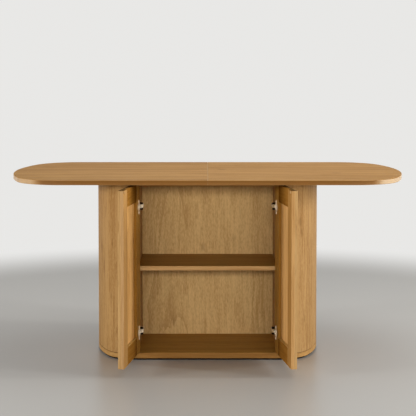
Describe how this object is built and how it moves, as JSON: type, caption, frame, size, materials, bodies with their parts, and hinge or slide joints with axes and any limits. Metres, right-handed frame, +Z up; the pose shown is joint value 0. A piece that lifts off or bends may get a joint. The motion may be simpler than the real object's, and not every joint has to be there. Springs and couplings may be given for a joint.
{
  "type": "kitchen table with storage cabinet",
  "caption": "Kitchen table: a soft-ended wooden top on a closed pedestal with bowed ends, which holds a cabinet with a shelf behind outward-swinging doors.",
  "frame": {"origin": "on the floor, under the middle of the pedestal", "axes": "+X along the table, +Y away from the side with the doors, +Z up"},
  "size_m": [1.6598, 0.9989, 0.762],
  "materials": {
    "top_oak": "satin lacquer",
    "wall_oak": "satin lacquer",
    "door_oak": "satin lacquer",
    "inner_oak": "satin lacquer",
    "plinth_black": "matt",
    "hinge_nickel": "nickel plate",
    "pad_rubber": "matt",
    "tongue_beech": "raw",
    "zinc_steel": "zinc plate"
  },
  "bodies": {
    "pedestal": {"bottom_panel": "wall_oak", "carcass_top": "inner_oak", "inner_back": "inner_oak", "left_end_wall": "wall_oak", "left_front_corner_post": "inner_oak", "left_gable": "inner_oak", "left_hinge_arms": "hinge_nickel", "left_hinge_plates": "hinge_nickel", "left_rear_corner_post": "inner_oak", "left_tabletop": "top_oak", "outer_back": "wall_oak", "plinth_board": "plinth_black", "right_end_wall": "wall_oak", "right_front_corner_post": "inner_oak", "right_gable": "inner_oak", "right_hinge_arms": "hinge_nickel", "right_hinge_plates": "hinge_nickel", "right_rear_corner_post": "inner_oak", "right_tabletop": "top_oak", "seam_tongue": "tongue_beech", "shelf": "inner_oak", "shelf_pins": "zinc_steel"},
    "right_door": {"right_door_skin": "door_oak", "right_door_hinge_stile": "door_oak", "right_door_free_stile": "door_oak", "right_door_top_rail": "door_oak", "right_door_bottom_rail": "door_oak", "right_door_bumper": "pad_rubber", "right_hinge_cups": "hinge_nickel"},
    "left_door": {"left_door_skin": "door_oak", "left_door_hinge_stile": "door_oak", "left_door_free_stile": "door_oak", "left_door_top_rail": "door_oak", "left_door_bottom_rail": "door_oak", "left_door_bumper": "pad_rubber", "left_hinge_cups": "hinge_nickel"},
    "right_hinge_links": {"right_hinge_links": "hinge_nickel"},
    "left_hinge_links": {"left_hinge_links": "hinge_nickel"}
  },
  "joints": [
    {"name": "right_door_swing", "type": "hinge", "parent": "pedestal", "child": "right_door", "pos_m": [0.2965, -0.2725, 0.384], "axis": [0, 0, 1], "range_deg": [-99, 3]},
    {"name": "left_door_swing", "type": "hinge", "parent": "pedestal", "child": "left_door", "pos_m": [-0.2965, -0.2725, 0.384], "axis": [0, 0, -1], "range_deg": [-99, 3]},
    {"name": "right_link_turn", "type": "hinge", "parent": "right_door", "child": "right_hinge_links", "pos_m": [0.28305, -0.27706, 0.3775], "axis": [0, 0, 1], "range_deg": [-6, 176]},
    {"name": "left_link_turn", "type": "hinge", "parent": "left_door", "child": "left_hinge_links", "pos_m": [-0.28305, -0.27706, 0.3775], "axis": [0, 0, -1], "range_deg": [-6, 176]}
  ],
  "couplings": [
    {"joint": "right_link_turn", "follows": "right_door_swing", "ratio": -1.7697},
    {"joint": "left_link_turn", "follows": "left_door_swing", "ratio": -1.7697}
  ]
}
